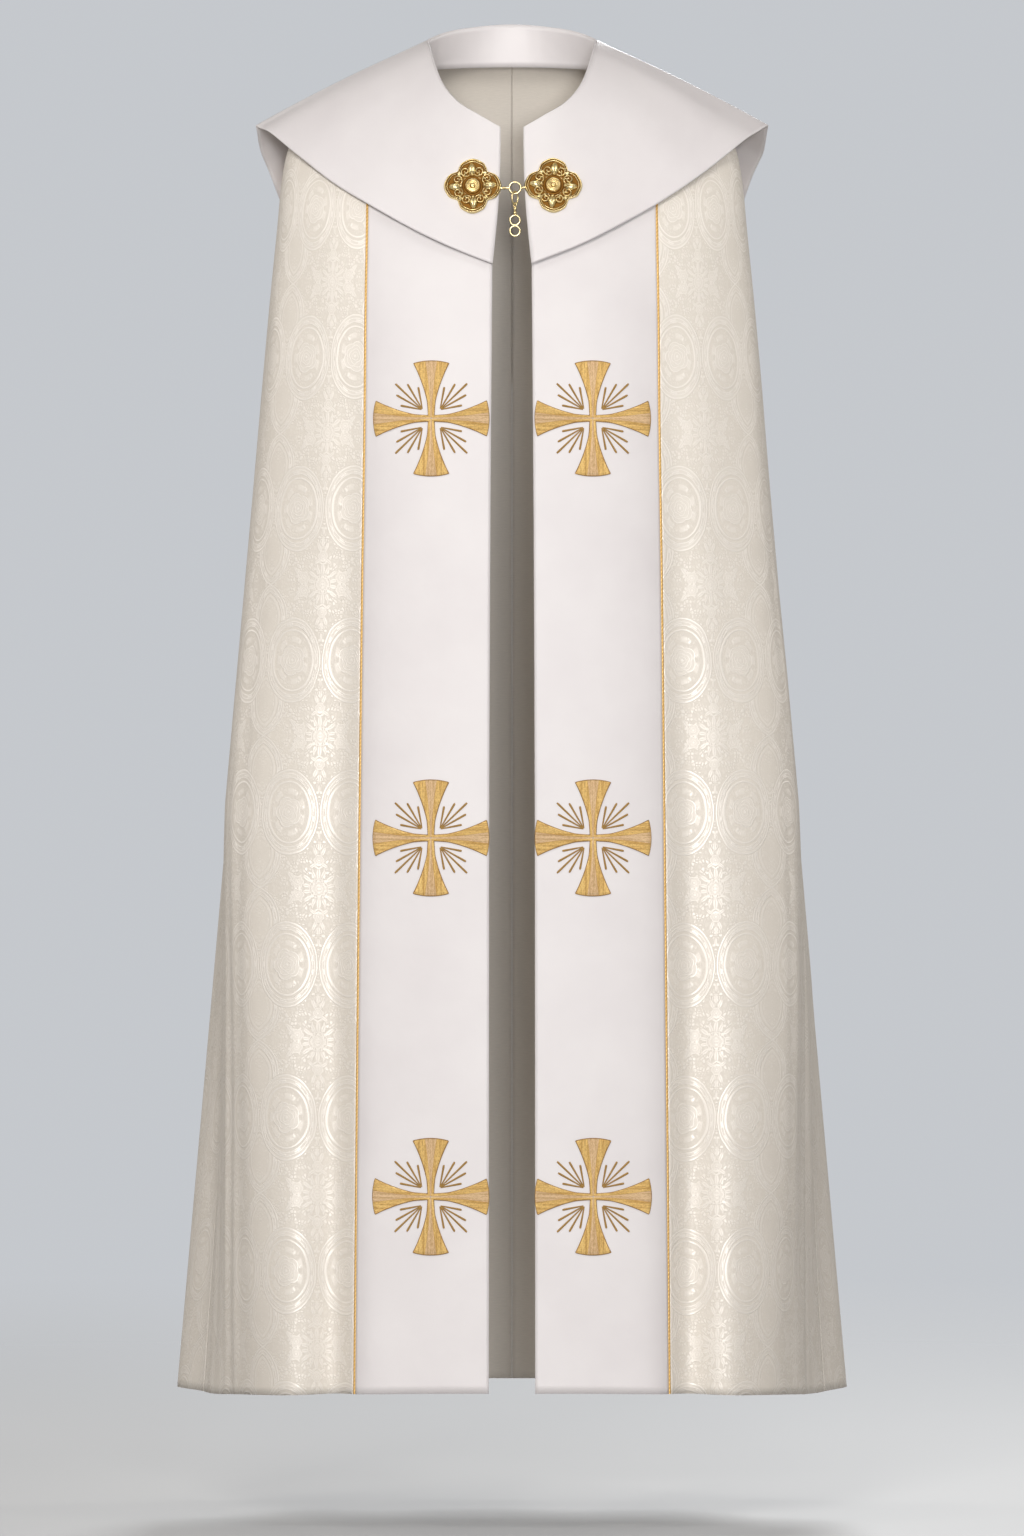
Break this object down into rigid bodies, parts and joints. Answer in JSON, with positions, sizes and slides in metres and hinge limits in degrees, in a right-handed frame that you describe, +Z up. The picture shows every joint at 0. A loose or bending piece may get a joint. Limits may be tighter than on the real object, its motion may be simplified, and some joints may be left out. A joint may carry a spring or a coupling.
{
  "type": "cope vestment",
  "caption": "Long liturgical cope, open down the front, with plain front bands, applique crosses, a wide cape collar, patterned side panels and a metal morse with a hanging eyelet.",
  "frame": {"origin": "the middle of the neck opening, where the wearer's neck and shoulders hold the cope", "axes": "the wearer faces -Y, +X is the right side seen from the front, and +Z is up"},
  "size_m": [0.716, 0.4998, 1.4578],
  "materials": {
    "damask": "ivory damask, tone on tone",
    "satin": "white satin",
    "gold_thread": "laid gold thread",
    "gold_metal": "polished antique gold"
  },
  "bodies": {
    "cope": {"mantle_back_left": "damask", "mantle_back_right": "damask", "mantle_front_left": "damask", "front_band_left": "satin", "piping_left": "gold_thread", "cross_upper_left": "gold_thread", "cross_middle_left": "gold_thread", "cross_lower_left": "gold_thread", "morse_plate_left": "gold_metal", "mantle_front_right": "damask", "front_band_right": "satin", "piping_right": "gold_thread", "cross_upper_right": "gold_thread", "cross_middle_right": "gold_thread", "cross_lower_right": "gold_thread", "morse_plate_right": "gold_metal", "collar_cape": "satin", "collar_stand": "satin", "morse_hook": "gold_metal", "morse_loop": "gold_metal", "morse_ring": "gold_metal"},
    "link": {"pendant_link": "gold_metal"},
    "eyelets": {"pendant_eyelets": "gold_metal"}
  },
  "joints": [
    {"name": "link_swing", "type": "hinge", "parent": "cope", "child": "link", "pos_m": [0.0031, -0.12671, -0.12806], "axis": [1, 0, 0], "range_deg": [-70, 20]},
    {"name": "eyelets_swing", "type": "hinge", "parent": "link", "child": "eyelets", "pos_m": [0.0031, -0.12671, -0.13946], "axis": [0.5736, 0.8192, 0], "range_deg": [-15, 30]}
  ]
}
